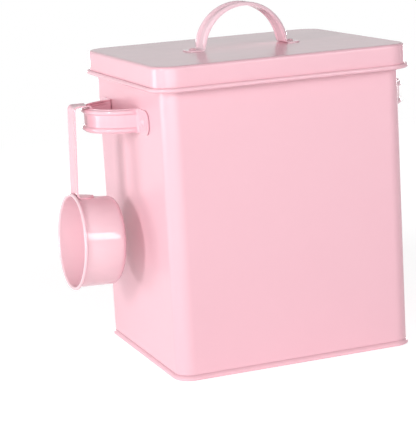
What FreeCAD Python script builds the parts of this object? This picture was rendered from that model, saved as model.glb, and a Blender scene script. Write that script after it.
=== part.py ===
"""Pet food storage tin with a lift-off lid, two side handles and a hanging scoop.

Millimetres, +Z up, -Y is the front. The origin is on the floor, at the centre of the tin.
The scoop hangs from the left handle, on the -X side, with its mouth facing away from the tin.
Everything is thin painted sheet steel, formed, rolled at its edges and riveted.
"""
import FreeCAD, Part
import math
import os
import Sketcher

Vector = FreeCAD.Vector
Rotation = FreeCAD.Rotation

# Driving sizes, in millimetres and degrees: name, value, what it is
DRIVING = (
    ("gauge", 0.6, "sheet of the body, the base, the lid and the cup"),
    ("body_width", 188.0, "outside of the wall, left to right"),
    ("body_depth", 163.0, "outside of the wall, front to back"),
    ("body_corner", 12.0, "outside radius of the upright corners"),
    ("body_height", 229.1, "floor to the top of the rolled rim"),
    ("rim_roll", 5.0, "outside diameter of the body's rolled rim"),
    ("curl_gap", 0.2, "free edge of a rolled edge to the wall behind it"),
    ("lock_seam_width", 7.0, "folded seam down the middle of the back"),
    ("lock_seam_proud", 0.7, "how far that seam stands off the wall"),
    ("base_seam_height", 4.0, "double seam round the foot"),
    ("base_seam_proud", 1.5, "how far the double seam stands off the wall"),
    ("base_seam_nose", 0.5, "rounding of the double seam's outer edges"),
    ("base_recess", 3.4, "floor to the underside of the base panel"),
    ("lid_play", 0.8, "rolled rim to the inside of the lid's skirt, each side"),
    ("lid_seat", 0.3, "top of the rolled rim to the underside of the lid"),
    ("skirt_height", 18.3, "lid's flat top to the bottom of its rolled hem"),
    ("hem_roll", 3.3, "outside diameter of the lid's rolled hem"),
    ("lid_edge", 2.5, "outside radius round the lid's flat top"),
    ("strap_gauge", 0.8, "sheet of the three strap handles"),
    ("strap_bead", 2.0, "outside radius of the stiffening beads of a strap"),
    ("bead_margin", 0.4, "edge of a strap to its nearest bead"),
    ("lid_strap_width", 19.0, "lid handle, across the strap"),
    ("lid_arch_radius", 33.4, "lid handle, outer face of the arch"),
    ("lid_arch_rise", 32.1, "lid's top to the outer face of the arch"),
    ("lid_arch_splay", 15.0, "lean of the lid handle's legs"),
    ("lid_arch_bend", 2.0, "radius in the bend between leg and foot"),
    ("lid_foot_length", 12.5, "from the leg to the end of the foot"),
    ("lid_foot_round", 6.0, "corner radius of the foot"),
    ("lid_rivet_place", 6.5, "from the leg to the rivet"),
    ("side_strap_width", 18.0, "side handle, across the strap"),
    ("side_arch_radius", 32.0, "side handle, outer face of the loop"),
    ("side_arch_rise", 31.2, "tin's wall to the outer face of the loop"),
    ("side_arch_splay", 12.0, "lean of the side handle's legs"),
    ("side_arch_bend", 2.5, "radius in the bend between leg and foot"),
    ("side_foot_length", 23.0, "from the leg to the end of the foot"),
    ("side_foot_round", 7.0, "corner radius of the foot"),
    ("side_rivet_place", 10.0, "from the leg to the rivet"),
    ("side_handle_height", 185.7, "floor to the middle of the side straps"),
    ("side_handle_shift", 7.5, "left handle sits this far back, the right one this far forward"),
    ("rivet_head", 6.4, "diameter of a rivet's domed head"),
    ("rivet_dome", 1.5, "height of the domed head"),
    ("rivet_shank", 3.2, "diameter of a rivet's shank"),
    ("rivet_fit", 0.1, "how much wider a rivet's hole is than its shank"),
    ("rivet_tail", 5.0, "diameter of the flattened end inside the tin"),
    ("rivet_tail_height", 0.9, "height of the flattened end"),
    ("cup_mouth", 69.2, "scoop's cup, outside diameter of the wall below its rolled rim"),
    ("cup_depth", 34.0, "scoop's cup, mouth to the outside of its bottom"),
    ("cup_draft", 2.1, "taper of the cup's wall"),
    ("cup_corner", 5.0, "outside radius round the cup's bottom"),
    ("cup_roll", 2.6, "outside diameter of the cup's rolled rim"),
    ("cup_tilt", 4.2, "how far the cup's mouth looks up as it hangs"),
    ("cup_drop", 91.0, "side strap's middle to the centre of the cup's mouth"),
    ("stem_gauge", 1.2, "sheet of the scoop's handle"),
    ("stem_width", 16.8, "scoop's handle, across the strap"),
    ("stem_place", 3.4, "cup's mouth to the outer face of the handle"),
    ("stem_splay", 2.25, "lean of the handle from the mouth of the cup"),
    ("stem_bend", 1.2, "inside radius of the handle's bends"),
    ("stem_round", 3.0, "corner radius of the handle's two ends"),
    ("weld_length", 13.0, "length of the handle's foot, welded along the cup"),
    ("weld_gap", 0.05, "weld between the foot and the cup's wall"),
    ("hook_lip", 9.0, "length of the hook's lip inside the side handle"),
    ("hook_reach", 10.4, "room inside the hook, from the handle to the lip"),
    ("hook_seat", 0.4, "hook to the top edge of the side strap"),
    ("hook_play", 0.6, "hook's lip to the inner face of the side strap"),
)

# Formulas are text: @name is a driving size, and @@name one of the handle being made
LID_TOP = "(@body_height + @lid_seat + @gauge)"
HEM_LEVEL = "(@skirt_height - @hem_roll / 2)"
RIM_LEVEL = "(@body_height - @rim_roll / 2)"
OVER_WALL = "(@rim_roll + @lid_play)"
LEG = ("(@@arch_radius * cos(@@arch_splay) + tan(@@arch_splay) * (@@arch_rise - @@arch_radius"
       " - @strap_gauge - @@arch_bend + (@@arch_radius + @@arch_bend) * sin(@@arch_splay)))")
RIVET_PLACE = "(%s + @@rivet_place)" % LEG
FOOT_END = "(%s + @@foot_length)" % LEG

# The scoop's handle is drawn from its top outer corner, the cup from the centre of its mouth
STEM_LEAN = "(@cup_tilt - @stem_splay)"
WELD_RADIUS = ("(@cup_mouth / 2 - (@stem_place - @cup_roll / 2) * tan(@cup_draft)"
               " + @weld_gap)")
HEEL_OUT = "(@stem_place * cos(@cup_tilt) + %s * sin(@cup_tilt))" % WELD_RADIUS
HEEL_UP = "(%s * cos(@cup_tilt) - @stem_place * sin(@cup_tilt))" % WELD_RADIUS
HOOK_OUT = ("(@strap_gauge - @body_width / 2 - @side_arch_rise + @hook_play - @hook_reach"
            " - @stem_gauge)")
HOOK_OVER = "(@side_strap_width / 2 + @hook_seat + @stem_gauge)"
STEM_DROP = "(@cup_drop + %s - %s)" % (HOOK_OVER, HEEL_UP)
LIP_OUT = "(@hook_reach + 2 * @stem_gauge)"

doc = FreeCAD.newDocument("storage_tin")
sheet = doc.addObject("Spreadsheet::Sheet", "sizes")
for row, (alias, number, note) in enumerate(DRIVING, start=1):
    sheet.set("A%d" % row, alias)
    sheet.set("B%d" % row, str(number))
    sheet.set("C%d" % row, note)
    sheet.setAlias("B%d" % row, alias)
scratch = doc.addObject("Spreadsheet::Sheet", "scratch")
doc.recompute()


def value(formula):
    """Work a formula out in a spare cell."""
    scratch.set("A1", "=" + formula.replace("@", "sizes."))
    scratch.recompute()
    return float(scratch.get("A1"))


def bind(feature, prop, formula):
    """Tie a property to a formula."""
    feature.setExpression(prop, formula.replace("@", "sizes."))


def handle_formula(kind, formula):
    """A formula of the handle being made, for the lid's or the side's own sizes."""
    return formula.replace("@@", "@" + kind + "_")


def new_body(label, rotation=Rotation(), x="0", y="0", z="0"):
    """An empty body, turned and placed by formulas."""
    body = doc.addObject("PartDesign::Body", label)
    body.Label = label
    body.Placement = FreeCAD.Placement(Vector(), rotation)
    for axis, formula in zip("xyz", (x, y, z)):
        if formula != "0":
            bind(body, "Placement.Base." + axis, formula)
    return body


def new_sketch(body, name, plane, level="0"):
    """A sketch on one of the body's own planes, moved along the plane's normal."""
    sketch = body.newObject("Sketcher::SketchObject", body.Label + "_" + name)
    support = [item for item in body.Origin.OriginFeatures if item.Role == plane][0]
    sketch.AttachmentSupport = [(support, "")]
    sketch.MapMode = "FlatFace"
    if level != "0":
        bind(sketch, "AttachmentOffset.Base.z", level)
    doc.recompute()
    return sketch


def dimension(sketch, name, kind, where, formula):
    """Add a named dimension and tie it to its formula."""
    index = sketch.addConstraint(Sketcher.Constraint(kind, *where, value(formula)))
    sketch.renameConstraint(index, name)
    bind(sketch, "Constraints." + name, formula)


def put_point(sketch, name, point, x, y):
    """Place a point of the sketch from its origin, or on an axis where a formula is 0."""
    for axis, kind, formula, on_axis in (("x", "DistanceX", x, -2), ("y", "DistanceY", y, -1)):
        if formula == "0":
            sketch.addConstraint(Sketcher.Constraint("PointOnObject", *point, on_axis))
        else:
            dimension(sketch, name + "_" + axis, kind, (-1, 1) + point, formula)


def arc(x, y, radius, low, high):
    """An arc of a circle in the sketch's plane, anticlockwise between two angles in degrees."""
    circle = Part.Circle(Vector(x, y, 0), Vector(0, 0, 1), radius)
    return Part.ArcOfCircle(circle, math.radians(low), math.radians(high))


def outline(sketch, name, corners, bows=None):
    """A closed outline through corners, anticlockwise. A bow turns a side into an arc.

    bows holds, by the number of the side's first corner, the arc's centre and which of its
    two coordinates is the one to dimension.
    """
    bows = bows or {}
    points = [Vector(value(x), value(y), 0) for x, y in corners]
    first = sketch.GeometryCount
    for number, start in enumerate(points):
        end = points[(number + 1) % len(points)]
        if number in bows:
            centre = Vector(value(bows[number][0]), value(bows[number][1]), 0)
            low = math.atan2(start.y - centre.y, start.x - centre.x)
            high = math.atan2(end.y - centre.y, end.x - centre.x)
            side = Part.ArcOfCircle(
                Part.Circle(centre, Vector(0, 0, 1), start.distanceToPoint(centre)),
                low, high if high > low else high + 2 * math.pi)
        else:
            side = Part.LineSegment(start, end)
        sketch.addGeometry(side, False)
    for number, (x, y) in enumerate(corners):
        after = first + (number + 1) % len(corners)
        sketch.addConstraint(Sketcher.Constraint("Coincident", first + number, 2, after, 1))
        put_point(sketch, "%s_%d" % (name, number), (first + number, 1), x, y)
    for number, (x, y, axis) in bows.items():
        label = "%s_bow_%d" % (name, number)
        centre = (first + number, 3)
        if axis == "x" and x == "0":
            sketch.addConstraint(Sketcher.Constraint("PointOnObject", *centre, -2))
        elif axis == "x":
            dimension(sketch, label, "DistanceX", (-1, 1) + centre, x)
        else:
            dimension(sketch, label, "DistanceY", (-1, 1) + centre, y)


def rounded_rectangle(sketch, name, half_width, half_depth, corner):
    """A centred rounded rectangle whose first edge starts at the middle of its +X side."""
    a, b, radius = value(half_width), value(half_depth), value(corner)
    first = sketch.GeometryCount
    arcs = [arc(sx * (a - radius), sy * (b - radius), radius, 90 * turn, 90 * turn + 90)
            for turn, (sx, sy) in enumerate(((1, 1), (-1, 1), (-1, -1), (1, -1)))]
    middle = Vector(a, 0, 0)
    chain = [Part.LineSegment(middle, arcs[0].StartPoint)]
    for turn in range(3):
        chain.append(arcs[turn])
        chain.append(Part.LineSegment(arcs[turn].EndPoint, arcs[turn + 1].StartPoint))
    chain.append(arcs[3])
    chain.append(Part.LineSegment(arcs[3].EndPoint, middle))
    sketch.addGeometry(chain, False)
    last = first + len(chain) - 1
    for step in range(first, last):
        sketch.addConstraint(Sketcher.Constraint("Tangent", step, 2, step + 1, 1))
    sketch.addConstraint(Sketcher.Constraint("Coincident", last, 2, first, 1))
    sketch.addConstraint(Sketcher.Constraint("PointOnObject", first, 1, -1))
    for direction, side in (("Vertical", 0), ("Horizontal", 2), ("Vertical", 4),
                            ("Horizontal", 6), ("Vertical", 8)):
        sketch.addConstraint(Sketcher.Constraint(direction, first + side))
    sketch.addConstraint(Sketcher.Constraint("Symmetric", first + 1, 3, first + 5, 3, -1, 1))
    for step in (3, 5, 7):
        sketch.addConstraint(Sketcher.Constraint("Equal", first + 1, first + step))
    dimension(sketch, name + "_half_width", "DistanceX", (-1, 1, first, 1), half_width)
    dimension(sketch, name + "_half_depth", "DistanceY", (-1, 1, first + 2, 1), half_depth)
    dimension(sketch, name + "_corner", "Radius", (first + 1,), corner)


def rolled_edge(sketch, side, level, diameter, over):
    """A rolled edge in section: it leaves the wall at (side, level) and curls outwards.

    side is the wall's inner face. The roll goes over the top, or else under the bottom.
    """
    outer = value(diameter) / 2
    x, y = value(side) + outer, value(level)
    free = math.degrees(math.acos((value("@gauge + @curl_gap") - outer) / outer))
    low, high = (-free, 180) if over else (180, 360 + free)
    big = arc(x, y, outer, low, high)
    small = arc(x, y, outer - value("@gauge"), low, high)
    wall_end, free_end = (2, 1) if over else (1, 2)
    first = sketch.GeometryCount
    sketch.addGeometry([big, small], False)
    sketch.addGeometry([Part.LineSegment(small.StartPoint, big.StartPoint),
                        Part.LineSegment(big.EndPoint, small.EndPoint)], False)
    for one, pos, other, end in ((0, 1, 2, 2), (1, 1, 2, 1), (0, 2, 3, 1), (1, 2, 3, 2)):
        sketch.addConstraint(Sketcher.Constraint(
            "Coincident", first + one, pos, first + other, end))
    sketch.addConstraint(Sketcher.Constraint("Coincident", first, 3, first + 1, 3))
    for curve in (first, first + 1):
        sketch.addConstraint(Sketcher.Constraint("Horizontal", curve, 3, curve, wall_end))
    free_side = first + 2 if over else first + 3
    sketch.addConstraint(Sketcher.Constraint("PointOnObject", first, 3, free_side))
    put_point(sketch, "roll_centre", (first, 3), "%s + %s / 2" % (side, diameter), level)
    dimension(sketch, "roll_outer", "Radius", (first,), diameter + " / 2")
    dimension(sketch, "roll_inner", "Radius", (first + 1,), diameter + " / 2 - @gauge")
    dimension(sketch, "roll_free_edge", "DistanceX", (-1, 1, first, free_end),
              side + " + @gauge + @curl_gap")


def pipe_along(body, name, section, path, edges=(), subtract=False):
    """Sweep a section along a sketch, or along some of its edges."""
    kind = "PartDesign::SubtractivePipe" if subtract else "PartDesign::AdditivePipe"
    pipe = body.newObject(kind, body.Label + "_" + name)
    pipe.Profile = section
    pipe.Spine = (path, list(edges))
    doc.recompute()
    return pipe


def pad(body, name, sketch, length):
    feature = body.newObject("PartDesign::Pad", body.Label + "_" + name)
    feature.Profile = sketch
    bind(feature, "Length", length)
    doc.recompute()
    return feature


def revolve(body, name, sketch, axis):
    """A full turn about the sketch's own H_Axis or V_Axis."""
    feature = body.newObject("PartDesign::Revolution", body.Label + "_" + name)
    feature.Profile = sketch
    feature.ReferenceAxis = (sketch, [axis])
    feature.Angle = 360
    doc.recompute()
    return feature


def fillet(body, name, base, picked, radius):
    """Round the edges of the last feature that the test picks."""
    feature = body.newObject("PartDesign::Fillet", body.Label + "_" + name)
    names = ["Edge%d" % number for number, edge in enumerate(base.Shape.Edges, start=1)
             if picked(edge)]
    feature.Base = (base, names)
    bind(feature, "Radius", radius)
    doc.recompute()
    return feature


def rivet_holes(body, plane, level, places, thickness):
    """Round holes through one sheet, cut equally far to both sides of the sketch."""
    sketch = new_sketch(body, "rivet_hole_places", plane, level)
    for number, (x, y) in enumerate(places):
        centre = Vector(value(x), value(y), 0)
        circle = Part.Circle(centre, Vector(0, 0, 1), value("@rivet_shank / 2"))
        index = sketch.addGeometry(circle, False)
        put_point(sketch, "hole_%d" % number, (index, 3), x, y)
        dimension(sketch, "hole_%d_radius" % number, "Radius", (index,),
                  "(@rivet_shank + @rivet_fit) / 2")
    cut = body.newObject("PartDesign::Pocket", body.Label + "_rivet_holes")
    cut.Profile = sketch
    cut.Midplane = True
    bind(cut, "Length", "4 * " + thickness)
    doc.recompute()
    return cut


def upright(edge, tolerance=1e-4):
    """An edge parallel to the body's own Z axis."""
    if edge.Curve.TypeId != "Part::GeomLine":
        return False
    ends = [vertex.Point for vertex in edge.Vertexes]
    return (ends[0] - ends[1]).cross(Vector(0, 0, 1)).Length < tolerance


def body_wall():
    """Seamed wall, open at both ends, with its top edge rolled outwards."""
    body = new_body("body_wall")
    ring = new_sketch(body, "ring", "XY_Plane", "@gauge")
    rounded_rectangle(ring, "outside", "@body_width / 2", "@body_depth / 2", "@body_corner")
    rounded_rectangle(ring, "inside", "@body_width / 2 - @gauge", "@body_depth / 2 - @gauge",
                      "@body_corner - @gauge")
    pad(body, "wall", ring, RIM_LEVEL + " - @gauge")

    seam = new_sketch(body, "lock_seam_outline", "XY_Plane", "@base_seam_height")
    half, near = "@lock_seam_width / 2", "@body_depth / 2 - @gauge / 2"
    far = "@body_depth / 2 + @lock_seam_proud"
    outline(seam, "strip", (("-" + half, near), (half, near), (half, far), ("-" + half, far)))
    pad(body, "lock_seam", seam, "@body_height - @rim_roll - @base_seam_height")

    path = new_sketch(body, "rim_path", "XY_Plane", RIM_LEVEL)
    rounded_rectangle(path, "rim", "@body_width / 2", "@body_depth / 2", "@body_corner")
    roll = new_sketch(body, "rim_section", "XZ_Plane")
    rolled_edge(roll, "(@body_width / 2 - @gauge)", RIM_LEVEL, "@rim_roll", over=True)
    pipe_along(body, "rolled_rim", roll, path)

    place = handle_formula("side", RIVET_PLACE)
    for side, sign in (("left", "-"), ("right", "")):
        shift = "@side_handle_shift" if side == "left" else "-@side_handle_shift"
        places = ((shift + " - " + place, "@side_handle_height"),
                  (shift + " + " + place, "@side_handle_height"))
        cut = rivet_holes(body, "YZ_Plane", sign + "(@body_width / 2 - @gauge / 2)", places,
                          "@gauge")
        cut.Label = body.Label + "_" + side + "_rivet_holes"
    return body


def base_panel():
    """Recessed base whose edge is folded up round the bottom of the wall."""
    body = new_body("base_panel")
    path = new_sketch(body, "seam_path", "XY_Plane")
    rounded_rectangle(path, "seam", "@body_width / 2", "@body_depth / 2", "@body_corner")
    section = new_sketch(body, "seam_section", "XZ_Plane")
    wall, nose = "@body_width / 2", "@base_seam_nose"
    proud, top = wall + " + @base_seam_proud", "@base_seam_height"
    outline(section, "seam", (
        (wall + " - 2 * @gauge", "0"),
        (proud + " - " + nose, "0"),
        (proud, nose),
        (proud, top + " - " + nose),
        (proud + " - " + nose, top),
        (wall, top),
        (wall, "@gauge"),
        (wall + " - @gauge", "@gauge"),
        (wall + " - @gauge", "@base_recess + @gauge"),
        (wall + " - 2 * @gauge", "@base_recess + @gauge"),
    ), bows={1: (proud + " - " + nose, nose, "x"), 3: (proud + " - " + nose, top + " - " + nose, "x")})
    pipe_along(body, "seam", section, path)
    sheet_outline = new_sketch(body, "panel_outline", "XY_Plane", "@base_recess")
    rounded_rectangle(sheet_outline, "panel", wall + " - 1.5 * @gauge",
                      "@body_depth / 2 - 1.5 * @gauge", "@body_corner - 1.5 * @gauge")
    pad(body, "panel", sheet_outline, "@gauge")
    return body


def lid_pan():
    """Drawn lid with a rolled hem. Its own origin is the middle of its flat top."""
    body = new_body("lid_pan", z=LID_TOP)
    half_width, half_depth = "@body_width / 2 + " + OVER_WALL, "@body_depth / 2 + " + OVER_WALL
    corner = "@body_corner + " + OVER_WALL
    block = new_sketch(body, "block_outline", "XY_Plane", "-" + HEM_LEVEL)
    rounded_rectangle(block, "block", half_width, half_depth, corner)
    solid = pad(body, "block", block, HEM_LEVEL)

    def round_top(edge):
        return all(abs(vertex.Point.z) < 1e-6 for vertex in edge.Vertexes)

    rounded = fillet(body, "edge", solid, round_top, "@lid_edge")
    open_face = ["Face%d" % number for number, face in enumerate(rounded.Shape.Faces, start=1)
                 if face.CenterOfMass.z < -value(HEM_LEVEL) + 1e-6]
    shell = body.newObject("PartDesign::Thickness", "lid_pan_shell")
    shell.Base = (rounded, open_face)
    shell.Reversed = True
    bind(shell, "Value", "@gauge")
    doc.recompute()

    path = new_sketch(body, "hem_path", "XY_Plane", "-" + HEM_LEVEL)
    rounded_rectangle(path, "hem", half_width, half_depth, corner)
    roll = new_sketch(body, "hem_section", "XZ_Plane")
    rolled_edge(roll, "(" + half_width + " - @gauge)", "-" + HEM_LEVEL, "@hem_roll", over=False)
    pipe_along(body, "rolled_hem", roll, path)

    place = handle_formula("lid", RIVET_PLACE)
    rivet_holes(body, "XY_Plane", "-@gauge / 2", (("-" + place, "0"), (place, "0")), "@gauge")
    return body


def strap_handle(label, kind, **where):
    """Bowed strap with two flat feet and two stiffening beads.

    Its own X runs along the strap, its feet lie on Z = 0 and it bows towards +Z.
    """
    body = new_body(label, **where)

    def own(formula):
        return handle_formula(kind, formula)

    gauge, splay = value("@strap_gauge"), value(own("@@arch_splay"))
    radius, bend, rise = (value(own("@@arch_" + name)) for name in ("radius", "bend", "rise"))
    lean = math.radians(splay)
    leg, tip = value(own(LEG)), value(own(FOOT_END))
    turn = leg + bend * math.cos(lean)
    low = Vector(leg, gauge + bend - bend * math.sin(lean), 0)
    high = Vector(radius * math.cos(lean), rise - radius + radius * math.sin(lean), 0)

    def mirrored(point):
        return Vector(-point.x, point.y, 0)

    path = new_sketch(body, "path", "XZ_Plane")
    path.addGeometry([
        Part.LineSegment(Vector(tip, gauge, 0), Vector(turn, gauge, 0)),
        arc(turn, gauge + bend, bend, 180 + splay, 270),
        Part.LineSegment(low, high),
        arc(0, rise - radius, radius, splay, 180 - splay),
        Part.LineSegment(mirrored(high), mirrored(low)),
        arc(-turn, gauge + bend, bend, 270, 360 - splay),
        Part.LineSegment(Vector(-turn, gauge, 0), Vector(-tip, gauge, 0)),
    ], False)
    joints = ((0, 2, 1, 2), (1, 1, 2, 1), (2, 2, 3, 1), (3, 2, 4, 1), (4, 2, 5, 2), (5, 1, 6, 1))
    for joint in joints:
        path.addConstraint(Sketcher.Constraint("Tangent", *joint))
    for foot in (0, 6):
        path.addConstraint(Sketcher.Constraint("Horizontal", foot))
    path.addConstraint(Sketcher.Constraint("Symmetric", 0, 1, 6, 2, -2))
    path.addConstraint(Sketcher.Constraint("Symmetric", 3, 1, 3, 2, -2))
    path.addConstraint(Sketcher.Constraint("Equal", 1, 5))
    path.addConstraint(Sketcher.Constraint("PointOnObject", 3, 3, -2))
    dimension(path, "bend", "Radius", (1,), own("@@arch_bend"))
    dimension(path, "crown", "Radius", (3,), own("@@arch_radius"))
    dimension(path, "crown_centre", "DistanceY", (-1, 1, 3, 3), own("@@arch_rise - @@arch_radius"))
    dimension(path, "crown_end", "DistanceY", (-1, 1, 3, 1),
              own("@@arch_rise - @@arch_radius * (1 - sin(@@arch_splay))"))
    put_point(path, "foot_end", (0, 1), own(FOOT_END), "@strap_gauge")

    section = new_sketch(body, "section", "YZ_Plane", own(FOOT_END))
    half = own("@@strap_width / 2")
    outline(section, "strap", (("-" + half, "0"), (half, "0"), (half, "@strap_gauge"),
                               ("-" + half, "@strap_gauge")))
    strap = pipe_along(body, "strap", section, path)

    def foot_corner(edge):
        return upright(edge) and abs(abs(edge.Vertexes[0].Point.x) - tip) < 1e-4

    fillet(body, "foot_corners", strap, foot_corner, own("@@foot_round"))

    middle = own("(@@strap_width / 2 - @bead_margin - @strap_bead)")
    for name, reach, base, edges, cut in (
            ("bead", "@strap_bead", "- @strap_gauge / 2", ("Edge3", "Edge4", "Edge5"), False),
            ("groove", "(@strap_bead - @strap_gauge)", "- 2 * @strap_gauge", ("Edge4",), True)):
        profile = new_sketch(body, name + "_section", "YZ_Plane")
        top = own("@@arch_rise")
        for number, at in enumerate(("-" + middle, middle)):
            outline(profile, "%s_%d" % (name, number), (
                (at + " - " + reach, top + base),
                (at + " + " + reach, top + base),
                (at + " + " + reach, top),
                (at + " - " + reach, top),
            ), bows={2: (at, top, "y")})
        pipe_along(body, name, profile, path, edges, subtract=cut)

    place = own(RIVET_PLACE)
    rivet_holes(body, "XY_Plane", "@strap_gauge / 2", (("-" + place, "0"), (place, "0")),
                "@strap_gauge")
    return body


def rivet(label, **where):
    """Domed rivet. Its head sits on Z = 0 and its shank goes through a strap and the tin."""
    body = new_body(label, **where)
    profile = new_sketch(body, "profile", "XZ_Plane")
    head, shank, tail = "@rivet_head / 2", "@rivet_shank / 2", "@rivet_tail / 2"
    grip = "-(@strap_gauge + @gauge)"
    end = grip + " - @rivet_tail_height"
    centre = "(@rivet_dome ^ 2 - (@rivet_head / 2) ^ 2) / (2 * @rivet_dome)"
    outline(profile, "rivet", (
        ("0", end), (tail, end), (tail, grip), (shank, grip), (shank, "0"), (head, "0"),
        ("0", "@rivet_dome"),
    ), bows={5: ("0", centre, "x")})
    revolve(body, "turned", profile, "V_Axis")
    return body


def scoop_cup(label, **where):
    """Drawn cup with a rolled rim. Its axis is X, from the middle of its mouth to its bottom."""
    body = new_body(label, **where)
    profile = new_sketch(body, "profile", "XZ_Plane")
    gauge, draft = value("@gauge"), math.radians(value("@cup_draft"))
    roll, corner, depth = value("@cup_roll / 2"), value("@cup_corner"), value("@cup_depth")
    roll_up = "(@cup_mouth / 2 - @gauge + @cup_roll / 2)"
    corner_up = ("(%s - (@cup_roll / 2 + @cup_corner - @gauge + (@cup_depth - @cup_corner"
                 " - @cup_roll / 2) * sin(@cup_draft)) / cos(@cup_draft))" % roll_up)
    high, low = value(roll_up), value(corner_up)
    slope = Vector(math.sin(draft), math.cos(draft), 0)
    curl, bend = Vector(roll, high, 0), Vector(depth - corner, low, 0)
    free = math.degrees(math.asin((value("@curl_gap + @gauge") - roll) / roll))
    turned = 90 - value("@cup_draft")
    inner_curl = arc(roll, high, roll - gauge, free, turned + 180)
    outer_curl = arc(roll, high, roll, free, turned + 180)
    profile.addGeometry([
        Part.LineSegment(Vector(depth, 0, 0), Vector(depth, low, 0)),
        arc(bend.x, low, corner, 0, turned),
        Part.LineSegment(bend + slope * corner, curl - slope * (roll - gauge)),
        inner_curl,
        Part.LineSegment(inner_curl.StartPoint, outer_curl.StartPoint),
        outer_curl,
        Part.LineSegment(curl - slope * roll, bend + slope * (corner - gauge)),
        arc(bend.x, low, corner - gauge, 0, turned),
        Part.LineSegment(Vector(depth - gauge, low, 0), Vector(depth - gauge, 0, 0)),
        Part.LineSegment(Vector(depth - gauge, 0, 0), Vector(depth, 0, 0)),
    ], False)
    for joint in ((0, 2, 1, 1), (1, 2, 2, 1), (2, 2, 3, 2), (5, 2, 6, 1), (6, 2, 7, 2),
                  (7, 1, 8, 1)):
        profile.addConstraint(Sketcher.Constraint("Tangent", *joint))
    for joint in ((3, 1, 4, 1), (4, 2, 5, 1), (8, 2, 9, 1), (9, 2, 0, 1), (3, 3, 5, 3),
                  (1, 3, 7, 3)):
        profile.addConstraint(Sketcher.Constraint("Coincident", *joint))
    for straight in (0, 8):
        profile.addConstraint(Sketcher.Constraint("Vertical", straight))
    profile.addConstraint(Sketcher.Constraint("PointOnObject", 0, 1, -1))
    profile.addConstraint(Sketcher.Constraint("PointOnObject", 9, 1, -1))
    profile.addConstraint(Sketcher.Constraint("PointOnObject", 3, 3, 4))
    dimension(profile, "depth", "DistanceX", (-1, 1, 0, 1), "@cup_depth")
    put_point(profile, "roll_centre", (5, 3), "@cup_roll / 2", roll_up)
    dimension(profile, "roll_free_edge", "DistanceY", (-1, 1, 5, 1), "@cup_mouth / 2 + @curl_gap")
    dimension(profile, "corner_up", "DistanceY", (-1, 1, 1, 3), corner_up)
    dimension(profile, "roll_outer", "Radius", (5,), "@cup_roll / 2")
    dimension(profile, "roll_inner", "Radius", (3,), "@cup_roll / 2 - @gauge")
    dimension(profile, "corner_outer", "Radius", (1,), "@cup_corner")
    dimension(profile, "corner_inner", "Radius", (7,), "@cup_corner - @gauge")
    revolve(body, "drawn", profile, "H_Axis")
    return body


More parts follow.
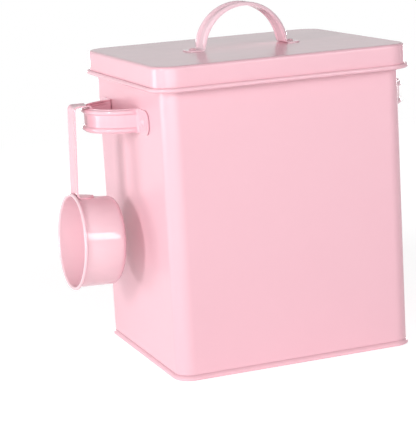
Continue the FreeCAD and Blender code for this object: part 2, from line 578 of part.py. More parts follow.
def scoop_handle(label, **where):
    """Strap welded to the cup, bent up and over into a hook, and curved across to fit the cup.

    Its own origin is the outer corner at the top, where the stem's and the hook's outer
    faces would meet, and the path runs along those faces from the hook's lip to the foot.
    """
    body = new_body(label, **where)
    bend = value("@stem_bend + @stem_gauge")
    lip, end = value(LIP_OUT), -value("@hook_lip")
    lean, foot_lean = (math.radians(value(angle)) for angle in (STEM_LEAN, "@cup_tilt + @cup_draft"))
    down = Vector(-math.sin(lean), -math.cos(lean), 0)
    along = Vector(math.cos(foot_lean), -math.sin(foot_lean), 0)
    heel = down * (value(STEM_DROP) / math.cos(lean))
    top_cut = bend * math.tan((math.pi / 2 - lean) / 2)
    heel_cut = bend * math.tan((math.pi / 2 - foot_lean + lean) / 2)
    stem_top, stem_foot = down * top_cut, heel - down * heel_cut
    toe = heel + along * value("@weld_length")
    top_centre = Vector(top_cut, -bend, 0)
    heel_centre = stem_foot + Vector(-down.y, down.x, 0) * bend

    path = new_sketch(body, "path", "XZ_Plane")
    path.addGeometry([
        Part.LineSegment(Vector(lip, end, 0), Vector(lip, -bend, 0)),
        arc(lip - bend, -bend, bend, 0, 90),
        Part.LineSegment(Vector(lip - bend, 0, 0), Vector(top_cut, 0, 0)),
        arc(top_centre.x, top_centre.y, bend, 90, 180 - math.degrees(lean)),
        Part.LineSegment(stem_top, stem_foot),
        arc(heel_centre.x, heel_centre.y, bend, 180 - math.degrees(lean),
            270 - math.degrees(foot_lean)),
        Part.LineSegment(heel + along * heel_cut, toe),
    ], False)
    corner = path.addGeometry(Part.Point(heel), True)
    for joint in ((0, 2, 1, 1), (1, 2, 2, 1), (2, 2, 3, 1), (3, 2, 4, 1), (4, 2, 5, 1),
                  (5, 2, 6, 1)):
        path.addConstraint(Sketcher.Constraint("Tangent", *joint))
    path.addConstraint(Sketcher.Constraint("Vertical", 0))
    path.addConstraint(Sketcher.Constraint("PointOnObject", 2, 1, -1))
    path.addConstraint(Sketcher.Constraint("PointOnObject", 2, 2, -1))
    path.addConstraint(Sketcher.Constraint("PointOnObject", -1, 1, 4))
    for line in (4, 6):
        path.addConstraint(Sketcher.Constraint("PointOnObject", corner, 1, line))
    for curve in (3, 5):
        path.addConstraint(Sketcher.Constraint("Equal", 1, curve))
    dimension(path, "bend", "Radius", (1,), "@stem_bend + @stem_gauge")
    put_point(path, "lip_end", (0, 1), LIP_OUT, "-@hook_lip")
    dimension(path, "heel_level", "DistanceY", (-1, 1, corner, 1), "-" + STEM_DROP)
    dimension(path, "heel_out", "DistanceX", (-1, 1, corner, 1),
              "-%s * tan%s" % (STEM_DROP, STEM_LEAN))
    dimension(path, "weld", "Distance", (corner, 1, 6, 2), "@weld_length")
    dimension(path, "toe_level", "DistanceY", (-1, 1, 6, 2),
              "-%s - @weld_length * sin(@cup_tilt + @cup_draft)" % STEM_DROP)

    section = new_sketch(body, "section", "XY_Plane", "-@hook_lip")
    inside, half, gauge = value(WELD_RADIUS), value("@stem_width / 2"), value("@stem_gauge")
    near, far = (math.degrees(math.asin(half / radius)) for radius in (inside, inside + gauge))
    hollow = arc(lip + inside, 0, inside, 180 - near, 180 + near)
    back = arc(lip + inside, 0, inside + gauge, 180 - far, 180 + far)
    section.addGeometry([hollow, back, Part.LineSegment(hollow.StartPoint, back.StartPoint),
                         Part.LineSegment(back.EndPoint, hollow.EndPoint)], False)
    for joint in ((0, 1, 2, 1), (1, 1, 2, 2), (1, 2, 3, 1), (0, 2, 3, 2), (0, 3, 1, 3)):
        section.addConstraint(Sketcher.Constraint("Coincident", *joint))
    for side in (2, 3):
        section.addConstraint(Sketcher.Constraint("Horizontal", side))
    put_point(section, "centre", (0, 3), LIP_OUT + " + " + WELD_RADIUS, "0")
    dimension(section, "hollow", "Radius", (0,), WELD_RADIUS)
    dimension(section, "back", "Radius", (1,), WELD_RADIUS + " + @stem_gauge")
    dimension(section, "half_width", "DistanceY", (-1, 1, 0, 1), "@stem_width / 2")
    dimension(section, "other_half", "DistanceY", (0, 2, -1, 1), "@stem_width / 2")
    strap = pipe_along(body, "strap", section, path)

    def end_corner(edge):
        """One sheet thick, at either end of the strap."""
        return abs(edge.Length - gauge) < 0.1 * gauge

    fillet(body, "end_corners", strap, end_corner, "@stem_round")
    return body


FACE_LEFT = Rotation(Vector(0, 1, 0), Vector(0, 0, -1), Vector(-1, 0, 0), "XYZ")
FACE_RIGHT = Rotation(Vector(0, 1, 0), Vector(0, 0, 1), Vector(1, 0, 0), "XYZ")


def place_tin():
    """The body, with a handle and two rivets on each side."""
    body_wall()
    base_panel()
    for name, turned, sign, shift in (("left", FACE_LEFT, "-", "@side_handle_shift"),
                                      ("right", FACE_RIGHT, "", "-@side_handle_shift")):
        strap_handle(name + "_handle", "side", rotation=turned, x=sign + "@body_width / 2",
                     y=shift, z="@side_handle_height")
        reach = handle_formula("side", RIVET_PLACE)
        for end, step in (("front", " - "), ("rear", " + ")):
            rivet("%s_handle_rivet_%s" % (name, end), rotation=turned,
                  x=sign + "(@body_width / 2 + @strap_gauge)", y=shift + step + reach,
                  z="@side_handle_height")


def place_lid():
    """The lid, with its handle and two rivets."""
    lid_pan()
    strap_handle("lid_handle", "lid", z=LID_TOP)
    reach = handle_formula("lid", RIVET_PLACE)
    for end, sign in (("left", "-"), ("right", "")):
        rivet("lid_rivet_" + end, x=sign + reach, z=LID_TOP + " + @strap_gauge")


def place_scoop():
    """The scoop's handle hangs over the left strap, and the cup is welded under it."""
    scoop_handle("scoop_handle", x=HOOK_OUT, y="@side_handle_shift",
                 z="@side_handle_height + " + HOOK_OVER)
    cup = scoop_cup("scoop_cup", rotation=Rotation(Vector(0, 1, 0), value("@cup_tilt")),
                    x="%s - %s * tan%s - %s" % (HOOK_OUT, STEM_DROP, STEM_LEAN, HEEL_OUT),
                    y="@side_handle_shift", z="@side_handle_height - @cup_drop")
    bind(cup, "Placement.Rotation.Angle", "@cup_tilt")


place_tin()
place_lid()
place_scoop()
doc.removeObject(scratch.Name)
doc.recompute()

pieces = [item for item in doc.Objects if item.TypeId == "PartDesign::Body"]
failed = [item.Name for item in doc.Objects if "Invalid" in item.State or "Error" in item.State]
if failed:
    raise RuntimeError("failed: " + ", ".join(failed))
for piece in pieces:
    shape = piece.Shape
    if shape.isNull() or not shape.isValid() or len(shape.Solids) != 1:
        raise RuntimeError(piece.Label + " is not one valid solid")

os.makedirs("parts", exist_ok=True)
for piece in pieces:
    piece.Shape.exportStep("parts/" + piece.Label + ".step")
    print("%-26s %10.1f mm3" % (piece.Label, piece.Shape.Volume))
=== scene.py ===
"""Looks of the storage tin: gloss enamel over formed sheet metal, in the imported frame.

Pieces are drawn in millimetres and brought to metres when they are finished. +Z is up, -Y is
the front, and the scoop hangs on the -X side.
"""
import math
import bmesh
import bpy
from mathutils import Matrix, Vector


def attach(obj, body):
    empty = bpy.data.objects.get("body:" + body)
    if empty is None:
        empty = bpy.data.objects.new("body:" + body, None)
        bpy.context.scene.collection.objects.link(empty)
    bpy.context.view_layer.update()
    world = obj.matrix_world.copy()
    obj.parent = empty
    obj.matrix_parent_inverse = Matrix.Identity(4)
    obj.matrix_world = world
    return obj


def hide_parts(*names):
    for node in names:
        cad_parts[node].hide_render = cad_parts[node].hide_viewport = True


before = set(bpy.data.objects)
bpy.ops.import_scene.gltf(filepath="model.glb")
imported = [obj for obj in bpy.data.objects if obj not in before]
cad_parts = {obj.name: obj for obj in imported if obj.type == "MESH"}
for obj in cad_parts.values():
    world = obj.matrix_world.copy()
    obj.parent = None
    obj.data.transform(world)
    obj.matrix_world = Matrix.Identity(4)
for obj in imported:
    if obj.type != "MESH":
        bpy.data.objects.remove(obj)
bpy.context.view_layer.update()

X, Y, Z = Vector((1, 0, 0)), Vector((0, 1, 0)), Vector((0, 0, 1))
MM = 0.001

# The tin's wall and rim, in millimetres and degrees. A roll's free edge stops short of the wall
GAUGE, BASE_GAUGE = 0.6, 0.5
WIDTH, DEPTH, CORNER, HEIGHT = 188.0, 163.0, 12.0, 229.1
RIM_ROLL, CURL_GAP = 5.0, 0.2

# The base, its edge folded round the wall's foot. The top of the fold leans in by the slope
RECESS, BASE_BEND = 3.4, 0.4
FOLD_HEIGHT, FOLD_PROUD, FOLD_NOSE, FOLD_SLOPE = 4.0, 1.5, 0.5, 30

# The lock seam down the back
LOCK_WIDTH, LOCK_THICK, LOCK_PROUD, LOCK_EDGE = 7.0, 1.0, 0.7, 0.35

# The lid. Its hem rolls half a turn and HEM_CLOSE more, and a flat lip closes it
LID_PLAY, LID_SEAT, LID_EDGE, SKIRT = 0.8, 0.3, 2.5, 18.3
HEM_ROLL, HEM_CLOSE, HEM_GAP = 3.3, 100, 0.02
OVER_WALL = RIM_ROLL + LID_PLAY
LID_TOP = HEIGHT + LID_SEAT + GAUGE

# A panel's section starts this far inside its side, and one flat face fills the rest
BASE_STRIP, LID_STRIP = 8, 6

# The strap handles, their beads and rivets. The tips of a strap's feet stand off by its spring
STRAP_GAUGE, BEAD, BEAD_FOOT, BEAD_SLOPE, BEAD_MARGIN, BEAD_FADE = 0.8, 1.85, 0.35, 85, 0.21, 7.0
STRAPS = {
    "lid": dict(width=19.0, radius=33.4, rise=32.1, splay=15, bend=2.0, foot=12.5, end=6.0,
                rivet=6.5, spring=0.05),
    "side": dict(width=18.0, radius=32.0, rise=31.2, splay=12, bend=2.5, foot=23.0, end=7.0,
                 rivet=10.0, spring=0.5),
}
SIDE_LEVEL, SIDE_SHIFT = 185.7, 7.5
RIVET_HEAD, RIVET_DOME, RIVET_SHANK = 6.4, 1.5, 3.2
RIVET_TAIL, TAIL_HEIGHT, TAIL_EDGE = 5.0, 0.9, 0.25

# The scoop's cup and its handle, which hooks over the left strap
CUP_MOUTH, CUP_DEPTH, CUP_DRAFT, CUP_CORNER, CUP_ROLL = 69.2, 34.0, 2.1, 5.0, 2.6
CUP_TILT, CUP_LEVEL = 4.2, SIDE_LEVEL - 91.0
STEM_GAUGE, STEM_WIDTH, STEM_BEND, STEM_PLACE, STEM_LEAN = 1.2, 16.8, 2.4, 3.4, 1.95
STEM_ROUND, TOE_ROUND = 3.0, 7.6
HOOK_WIDE, HOOK_LIP, HOOK_PLAY, HOOK_SEAT = 12.8, 9.0, 0.6, 0.4
WELD, WELD_GAP = 13.0, 0.05
HOOK_OUT = (STRAP_GAUGE - WIDTH / 2 - STRAPS["side"]["rise"] + HOOK_PLAY + STEM_GAUGE - HOOK_WIDE)
HOOK_LEVEL = SIDE_LEVEL + STRAPS["side"]["width"] / 2 + HOOK_SEAT + STEM_GAUGE
TILT = math.radians(CUP_TILT)
STEM_CURVE = (CUP_MOUTH / 2 - (STEM_PLACE - CUP_ROLL / 2) * math.tan(math.radians(CUP_DRAFT))
              + WELD_GAP)
HEEL_OUT = STEM_PLACE * math.cos(TILT) + STEM_CURVE * math.sin(TILT)
HEEL_UP = STEM_CURVE * math.cos(TILT) - STEM_PLACE * math.sin(TILT)
STEM_DROP = HOOK_LEVEL - CUP_LEVEL - HEEL_UP
CUP_OUT = HOOK_OUT - STEM_DROP * math.tan(math.radians(STEM_LEAN)) - HEEL_OUT

# Short runs beside a bend. Points nearer than this are joined: at a sweep's ends, and elsewhere
HOLD, SMALL_HOLD = 0.4, 0.3
SWEEP_JOIN, NEAR = 0.01, 1e-4

# Camera: its place in millimetres, its turn, look down and roll in degrees, its lens and frame
# in pixels of the photograph, and its sensor in millimetres
EYE = (-470.71, -1165.78, 359.41)
EYE_TURN, EYE_DOWN, EYE_ROLL = -20.47496, 11.70072, -3.35579
FOCAL, FRAME_HEIGHT, SENSOR = 1649.1, 433, 36.0

# Lamps: azimuth and elevation from the tin, distance, width and height in metres, and watts
LAMP_AIM = Vector((0, 0, 0.11))
LAMPS = {
    "side_key": (-157, 15, 1.6, 0.35, 0.45, 9.9),
    "side_strip": (163, 2, 1.4, 0.55, 0.28, 4.6),
    "front_window": (-120, 1, 1.7, 1.5, 0.24, 8.1),
    "front_box": (-63, 18, 1.5, 0.5, 0.42, 5.6),
    "high_window": (-118, 30, 1.7, 0.9, 0.3, 3.7),
    "back_fill": (88, 0.5, 1.8, 0.4, 0.2, 6.5),
    "right_fill": (42, 0.5, 1.8, 0.5, 0.2, 12.0),
}
ROOM_LIGHT = 0.16
WHITE = (1, 1, 1, 1)

# The floor, in metres. From near to far it turns from a matt face with shadows to plain white:
# near, what looks at it sees its glow by the share alone
FLOOR_HALF, FLOOR_DROP, FLOOR_NEAR, FLOOR_FAR = 9, 0.0003, 0.25, 1.1
FLOOR_GLOW, FLOOR_SHARE = 1.7, 0.45

# Enamel: the heights of the sheet's waves and of the orange peel, in metres
WAVES, PEEL = 0.00035, 0.00002
PINK, DEEP_PINK = (0.875, 0.53, 0.60), (0.86, 0.51, 0.58)


def only(kind, geom):
    """The items of one kind, such as the edges."""
    return [item for item in geom if isinstance(item, kind)]


class Trail:
    """Carries geometry along a path: a point leaves a line, and a line leaves a sheet."""

    def __init__(self, bm, geom, at, heading, up):
        self.bm, self.geom = bm, list(geom)
        self.at, self.heading, self.up = Vector(at), Vector(heading), Vector(up)
        self.length = 0.0
        self.rings = [self.ring()]

    def ring(self):
        """The points carried now, with the path's place, directions and length there."""
        verts = only(bmesh.types.BMVert, self.geom)
        return verts, self.at.copy(), self.heading.copy(), self.up.copy(), self.length

    def face(self, heading, up):
        """Turns on the spot."""
        self.heading, self.up = Vector(heading), Vector(up)
        return self

    def run(self, *lengths):
        """Straight runs along the heading."""
        for length in lengths:
            edges = only(bmesh.types.BMEdge, self.geom)
            if edges:
                made = bmesh.ops.extrude_edge_only(self.bm, edges=edges)["geom"]
                self.geom = only((bmesh.types.BMVert, bmesh.types.BMEdge), made)
            else:
                self.geom = bmesh.ops.extrude_vert_indiv(self.bm, verts=self.geom)["verts"]
            verts = only(bmesh.types.BMVert, self.geom)
            bmesh.ops.translate(self.bm, vec=self.heading * length, verts=verts)
            self.at += self.heading * length
            self.length += length
            self.rings.append(self.ring())
        return self

    def straight(self, length, first=0.0, last=0.0):
        """A run with a short part at its start or end, which keeps a bend's shading there."""
        return self.run(*(part for part in (first, length - first - last, last) if part))

    def bend(self, radius, degrees, steps):
        """An arc towards up, or away from it where the angle is negative."""
        centre = self.at + self.up * math.copysign(radius, degrees)
        axis = self.heading.cross(self.up)
        step = math.radians(degrees) / steps
        turn = Matrix.Rotation(step, 3, axis)
        for _ in range(steps):
            made = bmesh.ops.spin(self.bm, geom=self.geom, cent=centre, axis=axis, angle=step,
                                  steps=1, use_duplicate=False)
            self.geom = made["geom_last"]
            self.at = centre + turn @ (self.at - centre)
            self.heading, self.up = turn @ self.heading, turn @ self.up
            self.length += radius * abs(step)
            self.rings.append(self.ring())
        return self


def start_line(bm, at, heading, up):
    """A line drawn from one point."""
    return Trail(bm, [bm.verts.new(at)], at, heading, up)


def whole_line(bm):
    """Every point and edge drawn so far."""
    return list(bm.verts) + list(bm.edges)


def round_the_tin(bm, half_width, half_depth, corner, steps=14):
    """Sweeps the section at the middle of the right side once round a rounded rectangle."""
    long_x, long_y = 2 * (half_width - corner), 2 * (half_depth - corner)
    trail = Trail(bm, whole_line(bm), (half_width, 0, 0), Y, -X)
    trail.straight(long_y / 2, last=HOLD)
    for side in (long_x, long_y, long_x):
        trail.bend(corner, 90, steps).straight(side, HOLD, HOLD)
    trail.bend(corner, 90, steps).straight(long_y / 2, first=HOLD)
    bmesh.ops.remove_doubles(bm, verts=bm.verts, dist=SWEEP_JOIN)


def cap_middle(bm, level, start):
    """Fills the flat opening that a sweep leaves at a level, inside its section's start."""
    rim = [edge for edge in bm.edges if edge.is_boundary
           and all(abs(vert.co.z - level) < NEAR and abs(vert.co.x) < start + 0.5
                   for vert in edge.verts)]
    bmesh.ops.contextual_create(bm, geom=rim)


def whole_turn(bm, axis, steps):
    """Spins the line once round an axis through the origin and closes its poles."""
    bmesh.ops.spin(bm, geom=whole_line(bm), cent=(0, 0, 0), axis=axis, angle=2 * math.pi,
                   steps=steps, use_merge=True, use_duplicate=False)
    bmesh.ops.remove_doubles(bm, verts=bm.verts, dist=NEAR)


def look(bm, point, direction):
    """Turns the faces so that the one nearest to a point looks in a direction."""
    near = min(bm.faces, key=lambda face: (face.calc_center_median() - Vector(point)).length)
    if near.normal.dot(Vector(direction)) < 0:
        bmesh.ops.reverse_faces(bm, faces=bm.faces)


def finish_piece(name, bm, body, nodes, finish, facing=None, sheet=0.0, rounding=0.0,
                 place=Matrix()):
    """Turns a drawn piece into an object. facing is a point and where the face there looks."""
    bmesh.ops.recalc_face_normals(bm, faces=bm.faces)
    if facing:
        look(bm, *facing)
    bmesh.ops.transform(bm, matrix=Matrix.Scale(MM, 4) @ place, verts=bm.verts)
    for face in bm.faces:
        face.smooth = True
    mesh = bpy.data.meshes.new(name)
    bm.to_mesh(mesh)
    bm.free()
    piece = bpy.data.objects.new(name, mesh)
    bpy.context.scene.collection.objects.link(piece)
    if sheet:
        wall = piece.modifiers.new("sheet", "SOLIDIFY")
        wall.thickness, wall.offset, wall.use_even_offset = sheet * MM, -1, True
    if rounding:
        edge = piece.modifiers.new("edge", "BEVEL")
        edge.width, edge.segments, edge.limit_method = rounding * MM, 3, "ANGLE"
        edge.angle_limit, edge.harden_normals = math.radians(50), True
    mesh.materials.append(finish)
    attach(piece, body)
    if nodes:
        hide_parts(*nodes)


class Varying:
    """A number that changes over a surface. Sums and products of it add Math nodes."""

    def __init__(self, recipe, socket):
        self.recipe, self.socket = recipe, socket

    def math(self, operation, first, second):
        item = self.recipe.node("Math", dict(operation=operation), {0: first, 1: second})
        return Varying(self.recipe, item.outputs[0])

    def __add__(self, other):
        return self.math("ADD", self, other)

    __radd__ = __add__

    def __mul__(self, other):
        return self.math("MULTIPLY", self, other)

    __rmul__ = __mul__


class Recipe:
    """The nodes of one finish."""

    def __init__(self, name, tree=None):
        if tree is None:
            self.material = bpy.data.materials.new(name)
            self.material.use_nodes = True
            tree = self.material.node_tree
        self.tree = tree
        self.tree.nodes.clear()

    def node(self, kind, settings=None, inputs=None):
        """One node, with its settings, and with the values or links of its sockets."""
        item = self.tree.nodes.new("ShaderNode" + kind)
        for key, setting in (settings or {}).items():
            setattr(item, key, setting)
        for key, given in (inputs or {}).items():
            if isinstance(given, Varying):
                given = given.socket
            if isinstance(given, bpy.types.NodeSocket):
                self.tree.links.new(given, item.inputs[key])
            else:
                item.inputs[key].default_value = given
        return item

    def noise(self, where, scale, detail):
        """A cloudy number between 0 and 1."""
        item = self.node("TexNoise", {}, {"Vector": where, "Scale": scale, "Detail": detail})
        return Varying(self, item.outputs["Fac"])

    def blend(self, amount, first, second):
        """A colour between two colours."""
        item = self.node("Mix", dict(data_type="RGBA"), {0: amount, 6: first, 7: second})
        return item.outputs[2]

    def looked_at(self):
        """1 where the camera, a reflection or a view through glass looks, and otherwise 0."""
        path = self.node("LightPath")
        camera, glossy, through = (Varying(self, path.outputs[name]) for name in
                                   ("Is Camera Ray", "Is Glossy Ray", "Is Transmission Ray"))
        return camera + glossy + through


def enamel(name, pink, deep, gloss, ripple=1.0, ior=1.5):
    """Gloss powder coat: nearly even pink, with its fine orange peel and the sheet's waves."""
    recipe = Recipe(name)
    where = recipe.node("TexCoord").outputs["Object"]
    cloud = recipe.noise(where, scale=22.0, detail=3.0)
    specks = recipe.noise(where, scale=900.0, detail=1.0)
    colour = recipe.blend(cloud * 0.8 + specks * 0.2, pink + (1,), deep + (1,))
    peel = recipe.noise(where, scale=420.0, detail=2.0)
    waves = recipe.noise(where, scale=16.0, detail=1.0)
    smears = recipe.noise(where, scale=60.0, detail=2.0)
    coarse = recipe.node("Bump", {}, {"Strength": 1.0, "Distance": WAVES * ripple,
                                      "Height": waves})
    fine = recipe.node("Bump", {}, {"Strength": 0.35, "Distance": PEEL, "Height": peel,
                                    "Normal": coarse.outputs[0]})
    shader = recipe.node("BsdfPrincipled", {}, {
        "Base Color": colour, "Roughness": smears * 0.05 + gloss, "IOR": ior,
        "Normal": fine.outputs[0]})
    recipe.node("OutputMaterial", {}, {"Surface": shader.outputs[0]})
    return recipe.material


def light_the_room():
    """Even light from pale surroundings, which are white where they are looked at."""
    world = bpy.data.worlds.new("room")
    world.use_nodes = True
    bpy.context.scene.world = world
    recipe = Recipe("room", world.node_tree)
    even = recipe.node("Background", {}, {"Color": WHITE, "Strength": ROOM_LIGHT})
    white = recipe.node("Background", {}, {"Color": WHITE, "Strength": 1.0})
    mixed = recipe.node("MixShader", {}, {0: recipe.looked_at(), 1: even.outputs[0],
                                          2: white.outputs[0]})
    recipe.node("OutputWorld", {}, {"Surface": mixed.outputs[0]})


def lamp(name, azimuth, elevation, distance, width, height, watts):
    """An area lamp seen from the tin in a direction, turned towards it."""
    data = bpy.data.lights.new(name, "AREA")
    data.shape, data.size, data.size_y, data.energy = "RECTANGLE", width, height, watts
    flat, up = math.radians(azimuth), math.radians(elevation)
    away = Vector((math.cos(flat) * math.cos(up), math.sin(flat) * math.cos(up), math.sin(up)))
    item = bpy.data.objects.new(name, data)
    item.location = LAMP_AIM + away * distance
    item.rotation_euler = away.to_track_quat("Z", "Y").to_euler()
    item.visible_camera = False
    bpy.context.scene.collection.objects.link(item)


def lay_the_floor():
    """A plain pale floor that looks white where no shadow falls."""
    bm = bmesh.new()
    bmesh.ops.create_grid(bm, x_segments=1, y_segments=1, size=FLOOR_HALF)
    bmesh.ops.translate(bm, vec=(0, 0, -FLOOR_DROP), verts=bm.verts)
    mesh = bpy.data.meshes.new("floor")
    bm.to_mesh(mesh)
    bm.free()
    floor = bpy.data.objects.new("floor", mesh)
    bpy.context.scene.collection.objects.link(floor)
    recipe = Recipe("floor")
    away = recipe.node("VectorMath", dict(operation="LENGTH"),
                       {0: recipe.node("TexCoord").outputs["Object"]}).outputs["Value"]
    far = Varying(recipe, recipe.node("MapRange", dict(interpolation_type="SMOOTHSTEP"), {
        "Value": away, "From Min": FLOOR_NEAR, "From Max": FLOOR_FAR}).outputs["Result"])
    matt = recipe.node("BsdfDiffuse", {}, {"Color": (0.96, 0.96, 0.96, 1)})
    glow = recipe.blend(far, (FLOOR_GLOW, FLOOR_GLOW, FLOOR_GLOW, 1), WHITE)
    white = recipe.node("Emission", {}, {"Color": glow})
    share = recipe.looked_at() * (far * (1 - FLOOR_SHARE) + FLOOR_SHARE)
    mixed = recipe.node("MixShader", {}, {0: share, 1: matt.outputs[0], 2: white.outputs[0]})
    recipe.node("OutputMaterial", {}, {"Surface": mixed.outputs[0]})
    mesh.materials.append(recipe.material)


def set_the_camera():
    """The photograph's viewpoint."""
    data = bpy.data.cameras.new("camera")
    data.sensor_fit, data.sensor_height = "VERTICAL", SENSOR
    data.lens = FOCAL * SENSOR / FRAME_HEIGHT
    data.clip_start, data.clip_end = 0.05, 50
    camera = bpy.data.objects.new("camera", data)
    turned = (Matrix.Rotation(math.radians(EYE_TURN), 4, "Z")
              @ Matrix.Rotation(math.radians(90 - EYE_DOWN), 4, "X")
              @ Matrix.Rotation(math.radians(EYE_ROLL), 4, "Z"))
    camera.matrix_world = Matrix.Translation(Vector(EYE) * MM) @ turned
    bpy.context.scene.collection.objects.link(camera)
    bpy.context.scene.camera = camera


def roll_turn(diameter):
    """How far an edge rolls until it nearly meets the wall again."""
    radius = diameter / 2
    return 180 + math.degrees(math.acos((GAUGE + CURL_GAP - radius) / radius))


def tin_wall(finish):
    """The upright wall with its rolled rim, drawn on its inner face."""
    bm = bmesh.new()
    inner, rim = WIDTH / 2 - GAUGE, HEIGHT - RIM_ROLL / 2
    line = start_line(bm, (inner, 0, GAUGE), Z, X)
    line.straight(rim - GAUGE, first=4, last=0.5).bend(RIM_ROLL / 2, roll_turn(RIM_ROLL), 24)
    round_the_tin(bm, WIDTH / 2, DEPTH / 2, CORNER)
    finish_piece("tin_wall", bm, "bin", ["body_wall"], finish,
                 facing=((inner, 0, HEIGHT / 2), -X), sheet=GAUGE)


def lock_seam(finish):
    """The flat folded seam down the middle of the back."""
    bm = bmesh.new()
    bmesh.ops.create_cube(bm, size=1)
    low, high = FOLD_HEIGHT, HEIGHT - RIM_ROLL
    back = DEPTH / 2 + LOCK_PROUD - LOCK_THICK / 2
    size = Matrix.Diagonal((LOCK_WIDTH, LOCK_THICK, high - low, 1))
    bmesh.ops.transform(bm, matrix=Matrix.Translation((0, back, (high + low) / 2)) @ size,
                        verts=bm.verts)
    bmesh.ops.bevel(bm, geom=bm.edges, offset=LOCK_EDGE, segments=4, profile=0.5,
                    affect="EDGES", material=-1)
    finish_piece("lock_seam", bm, "bin", [], finish)


def tin_base(finish):
    """The recessed base, its edge folded round the wall's foot, drawn on its outer face."""
    bm = bmesh.new()
    inner, start, nose = WIDTH / 2 - 2 * GAUGE, WIDTH / 2 - BASE_STRIP, FOLD_NOSE
    line = start_line(bm, (start, 0, RECESS), X, Z)
    line.straight(inner - BASE_BEND - start, last=SMALL_HOLD).bend(BASE_BEND, -90, 4)
    line.run(RECESS - BASE_BEND - nose).bend(nose, 90, 5)
    line.run(WIDTH / 2 + FOLD_PROUD - inner - 2 * nose).bend(nose, 90, 5)
    turn = math.radians(FOLD_SLOPE)
    ledge = (FOLD_PROUD - nose * (1 - math.cos(turn))) / math.sin(turn)
    rise = FOLD_HEIGHT - nose - nose * math.sin(turn) - ledge * math.cos(turn)
    line.straight(rise, SMALL_HOLD, SMALL_HOLD).bend(nose, FOLD_SLOPE, 4).run(ledge)
    round_the_tin(bm, WIDTH / 2, DEPTH / 2, CORNER)
    cap_middle(bm, RECESS, start)
    finish_piece("tin_base", bm, "bin", ["base_panel"], finish,
                 facing=((0, 0, RECESS), -Z), sheet=BASE_GAUGE)


def lid(finish):
    """The drawn lid with its skirt and rolled hem, drawn on its inner face."""
    bm = bmesh.new()
    half_width, half_depth = WIDTH / 2 + OVER_WALL, DEPTH / 2 + OVER_WALL
    start, under, hem = half_width - LID_STRIP, LID_TOP - GAUGE, HEM_ROLL / 2
    line = start_line(bm, (start, 0, under), X, -Z)
    line.straight(half_width - LID_EDGE - start, last=HOLD).bend(LID_EDGE - GAUGE, 90, 8)
    line.straight(SKIRT - hem - LID_EDGE, HOLD, SMALL_HOLD)
    turn = math.radians(HEM_CLOSE)
    line.bend(hem, -180 - HEM_CLOSE, 18)
    line.run((hem * (1 + math.cos(turn)) - GAUGE - HEM_GAP) / math.sin(turn))
    round_the_tin(bm, half_width, half_depth, CORNER + OVER_WALL, steps=16)
    cap_middle(bm, under, start)
    finish_piece("lid", bm, "lid", ["lid_pan"], finish,
                 facing=((0, 0, under), -Z), sheet=GAUGE)


def rounded_steps(radius, angle):
    """Lengths to run along a rounded corner, from its end inwards, each turning by the angle."""
    reached = [radius * (1 - math.cos(math.radians(turn))) for turn in range(0, 91, angle)]
    return [far - near for near, far in zip(reached, reached[1:])]


def squeezed(half, corner, near):
    """A strap's width at a distance from its rounded end, as a share of its full width."""
    return (half - corner + math.sqrt(max(corner ** 2 - (corner - near) ** 2, 0))) / half


def strap_legs(kind):
    """Where the outer face of a strap's leg meets its foot, and its leg's straight length."""
    size = STRAPS[kind]
    lean, radius, bend, rise = (math.radians(size["splay"]), size["radius"], size["bend"],
                                size["rise"])
    leg = (radius * math.cos(lean) + math.tan(lean)
           * (rise - radius - STRAP_GAUGE - bend + (radius + bend) * math.sin(lean)))
    low = STRAP_GAUGE + bend - bend * math.sin(lean)
    high = rise - radius + radius * math.sin(lean)
    return leg, (high - low) / math.cos(lean)


def rivet_place(kind, sign):
    """Where a strap's rivet sits on its foot, on the side of the sign."""
    reach = strap_legs(kind)[0] + STRAPS[kind]["rivet"]
    return Matrix.Translation((sign * reach, 0, STRAP_GAUGE))


def bead(line):
    """A stiffening bead in the line across a strap."""
    line.bend(BEAD_FOOT, BEAD_SLOPE, 3).bend(BEAD, -2 * BEAD_SLOPE, 12)
    return line.bend(BEAD_FOOT, BEAD_SLOPE, 3)


def strap(name, kind, body, node, finish, place):
    """A bowed strap with two beads that fade into its feet, drawn on its outer face."""
    size = STRAPS[kind]
    leg, upright = strap_legs(kind)
    half, end, splay, bend = size["width"] / 2, size["end"], size["splay"], size["bend"]
    tip = leg + size["foot"]
    bm = bmesh.new()
    bead_width = 2 * (BEAD + BEAD_FOOT) * math.sin(math.radians(BEAD_SLOPE))
    middle = half - BEAD_MARGIN - bead_width
    across = start_line(bm, (-tip, -half, STRAP_GAUGE), Y, Z)
    bead(across.run(BEAD_MARGIN))
    across.straight(middle, first=SMALL_HOLD).straight(middle, last=SMALL_HOLD)
    bead(across).run(BEAD_MARGIN)

    trail = Trail(bm, whole_line(bm), (-tip, 0, STRAP_GAUGE), X, Z)
    steps = rounded_steps(end, 10)
    flat = tip - leg - bend * math.cos(math.radians(splay)) - end
    trail.run(*steps).straight(flat, last=HOLD)
    foot_end = trail.length
    trail.bend(bend, 90 - splay, 8).run(upright / 2, upright / 2)
    trail.bend(size["radius"], -2 * (90 - splay), 48)
    trail.run(upright / 2, upright / 2).bend(bend, 90 - splay, 8)
    trail.straight(flat, first=HOLD).run(*reversed(steps))

    for verts, at, heading, up, length in trail.rings:
        near = min(length, trail.length - length)
        share = min(max((near - foot_end) / BEAD_FADE, 0.0), 1.0)
        raised = share * share * (3 - 2 * share)
        narrow = squeezed(half, end, near) if near < end else 1.0
        axes = Matrix((heading, Y, up)).to_4x4()
        bmesh.ops.scale(bm, vec=(1, narrow, raised), space=axes @ Matrix.Translation(-at),
                        verts=verts)
        sprung = max(1 - near / foot_end, 0) ** 2
        bmesh.ops.translate(bm, vec=Z * size["spring"] * sprung, verts=verts)
    finish_piece(name, bm, body, [node], finish,
                 facing=((end - tip, 0, STRAP_GAUGE), Z), sheet=STRAP_GAUGE, rounding=0.22,
                 place=place)


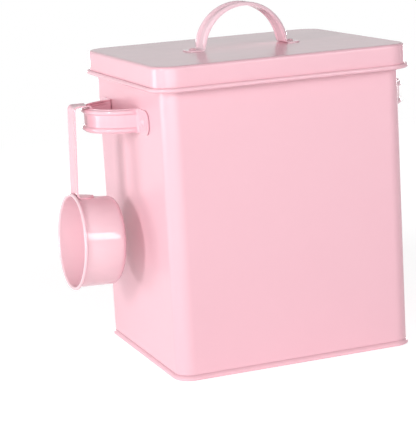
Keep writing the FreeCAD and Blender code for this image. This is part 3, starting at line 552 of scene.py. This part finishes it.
def rivet(name, body, node, finish, place):
    """A domed rivet through a strap and the tin, with its flattened tail inside."""
    bm = bmesh.new()
    head, shank, tail = RIVET_HEAD / 2, RIVET_SHANK / 2, RIVET_TAIL / 2
    grip = STRAP_GAUGE + GAUGE
    dome = (head ** 2 + RIVET_DOME ** 2) / (2 * RIVET_DOME)
    slope = math.asin(head / dome)
    line = start_line(bm, (0, 0, -grip - TAIL_HEIGHT), X, Z)
    line.run(tail - TAIL_EDGE).bend(TAIL_EDGE, 90, 3).run(TAIL_HEIGHT - TAIL_EDGE)
    line.face(-X, -Z).run(tail - shank).face(Z, -X).run(grip).face(X, Z).run(head - shank)
    line.face((-math.cos(slope), 0, math.sin(slope)), (-math.sin(slope), 0, -math.cos(slope)))
    line.bend(dome, math.degrees(slope), 12)
    whole_turn(bm, Z, 40)
    finish_piece(name, bm, body, [node], finish, rounding=0.12, place=place)


def cup(finish, place):
    """The scoop's drawn cup with its rolled rim, drawn on its inner face round X."""
    bm = bmesh.new()
    draft, roll = math.radians(CUP_DRAFT), CUP_ROLL / 2
    curl_up = CUP_MOUTH / 2 - GAUGE + roll
    corner_up = curl_up - (roll + CUP_CORNER - GAUGE + (CUP_DEPTH - CUP_CORNER - roll)
                           * math.sin(draft)) / math.cos(draft)
    inner = CUP_CORNER - GAUGE
    slope = Vector((math.sin(draft), math.cos(draft)))
    wall = (Vector((CUP_DEPTH - CUP_CORNER, corner_up)) + slope * inner
            - Vector((roll, curl_up)) + slope * roll).length
    turn = 270 - CUP_DRAFT - math.degrees(math.asin((CURL_GAP + GAUGE - roll) / roll))
    line = start_line(bm, (CUP_DEPTH - GAUGE, 0, 0), Z, -X)
    line.straight(corner_up, last=0.6).bend(inner, 90 - CUP_DRAFT, 10)
    line.straight(wall, 0.5, 0.5).bend(roll, -turn, 20)
    whole_turn(bm, X, 96)
    finish_piece("cup", bm, "scoop", ["scoop_cup"], finish,
                 facing=((CUP_DEPTH, 0, corner_up / 2), -X), sheet=GAUGE, place=place)


def hook(finish, place):
    """The scoop's handle, from the hook's lip to the foot, drawn on the face towards the cup."""
    bm = bmesh.new()
    centre = (HOOK_WIDE + STEM_CURVE, 0, 0)
    half_turn = math.asin(STEM_WIDTH / 2 / (STEM_CURVE + STEM_GAUGE / 2))
    first = bm.verts.new((HOOK_WIDE, 0, -HOOK_LIP))
    bmesh.ops.rotate(bm, cent=centre, matrix=Matrix.Rotation(-half_turn, 3, "Z"), verts=[first])
    bmesh.ops.spin(bm, geom=[first], cent=centre, axis=Z, angle=2 * half_turn, steps=8,
                   use_duplicate=False)
    top_cut = STEM_BEND * math.tan(math.radians(90 - STEM_LEAN) / 2)
    heel_turn = 90 - CUP_TILT - CUP_DRAFT + STEM_LEAN
    heel_cut = STEM_BEND * math.tan(math.radians(heel_turn) / 2)
    stem = STEM_DROP / math.cos(math.radians(STEM_LEAN)) - top_cut - heel_cut
    over = HOOK_WIDE - STEM_BEND - top_cut
    lip_steps, toe_steps = rounded_steps(STEM_ROUND, 15), rounded_steps(TOE_ROUND, 10)
    trail = Trail(bm, whole_line(bm), (HOOK_WIDE, 0, -HOOK_LIP), Z, -X)
    trail.run(*lip_steps).run(HOOK_LIP - STEM_BEND - STEM_ROUND).bend(STEM_BEND, 90, 8)
    trail.straight(over, SMALL_HOLD, SMALL_HOLD).bend(STEM_BEND, 90 - STEM_LEAN, 8)
    trail.straight(stem, SMALL_HOLD, SMALL_HOLD).bend(STEM_BEND, heel_turn, 8)
    trail.run(WELD - heel_cut - TOE_ROUND).run(*reversed(toe_steps))
    for verts, *_, length in trail.rings:
        for near, corner in ((length, STEM_ROUND), (trail.length - length, TOE_ROUND)):
            if near < corner:
                narrow = squeezed(STEM_WIDTH / 2, corner, near)
                bmesh.ops.scale(bm, vec=(1, narrow, 1), verts=verts)
    finish_piece("hook_handle", bm, "scoop", ["scoop_handle"], finish,
                 facing=((HOOK_WIDE, 0, -HOOK_LIP / 2), X), sheet=STEM_GAUGE, rounding=0.25,
                 place=place)


def facing_side(side, shift):
    """A side handle's place: its own Z looks out of the tin and its X runs front to back."""
    turned = Matrix((Y, (0, 0, side), (side, 0, 0))).transposed().to_4x4()
    return Matrix.Translation((side * WIDTH / 2, shift, SIDE_LEVEL)) @ turned


set_the_camera()
light_the_room()
for name, setting in LAMPS.items():
    lamp(name, *setting)
lay_the_floor()

tin_finish = enamel("tin_enamel", PINK, DEEP_PINK, gloss=0.27, ior=1.4)
lid_finish = enamel("lid_enamel", PINK, DEEP_PINK, gloss=0.17, ior=1.35)
handle_finish = enamel("handle_enamel", (0.872, 0.54, 0.61), (0.86, 0.52, 0.59), gloss=0.12,
                       ripple=0.3)
# The lid strap's enamel is a paler copy of the handles' pink: painted light, standing in for the
# brighter light on the strap's legs
painted_light_lid_strap_finish = enamel("pale_handle_enamel", (0.89, 0.635, 0.70), (0.88, 0.615, 0.68),
                     gloss=0.12, ripple=0.3)
rivet_finish = enamel("rivet_enamel", PINK, DEEP_PINK, gloss=0.12, ripple=0.1)
# The scoop's enamel is paler than the tin's pink: painted light, standing in for the brighter
# light on the cup and inside it
painted_light_scoop_finish = enamel("scoop_enamel", (0.895, 0.625, 0.68), (0.88, 0.605, 0.66), gloss=0.08,
                      ripple=0.3)

tin_wall(tin_finish)
lock_seam(tin_finish)
tin_base(tin_finish)
lid(lid_finish)

lid_place = Matrix.Translation((0, 0, LID_TOP))
strap("lid_strap", "lid", "lid", "lid_handle", painted_light_lid_strap_finish, lid_place)
for end, sign in (("left", -1), ("right", 1)):
    rivet("rivet_lid_" + end, "lid", "lid_rivet_" + end, rivet_finish,
          lid_place @ rivet_place("lid", sign))

for name, side, shift in (("left", -1, SIDE_SHIFT), ("right", 1, -SIDE_SHIFT)):
    place = facing_side(side, shift)
    strap("strap_" + name, "side", "bin", name + "_handle", handle_finish, place)
    for end, sign in (("front", -1), ("rear", 1)):
        rivet("rivet_%s_%s" % (name, end), "bin", "%s_handle_rivet_%s" % (name, end),
              rivet_finish, place @ rivet_place("side", sign))

hook(handle_finish, Matrix.Translation((HOOK_OUT, SIDE_SHIFT, HOOK_LEVEL)))
cup(painted_light_scoop_finish, Matrix.Translation((CUP_OUT, SIDE_SHIFT, CUP_LEVEL))
    @ Matrix.Rotation(TILT, 4, "Y"))

bpy.context.scene.view_settings.view_transform = "Standard"
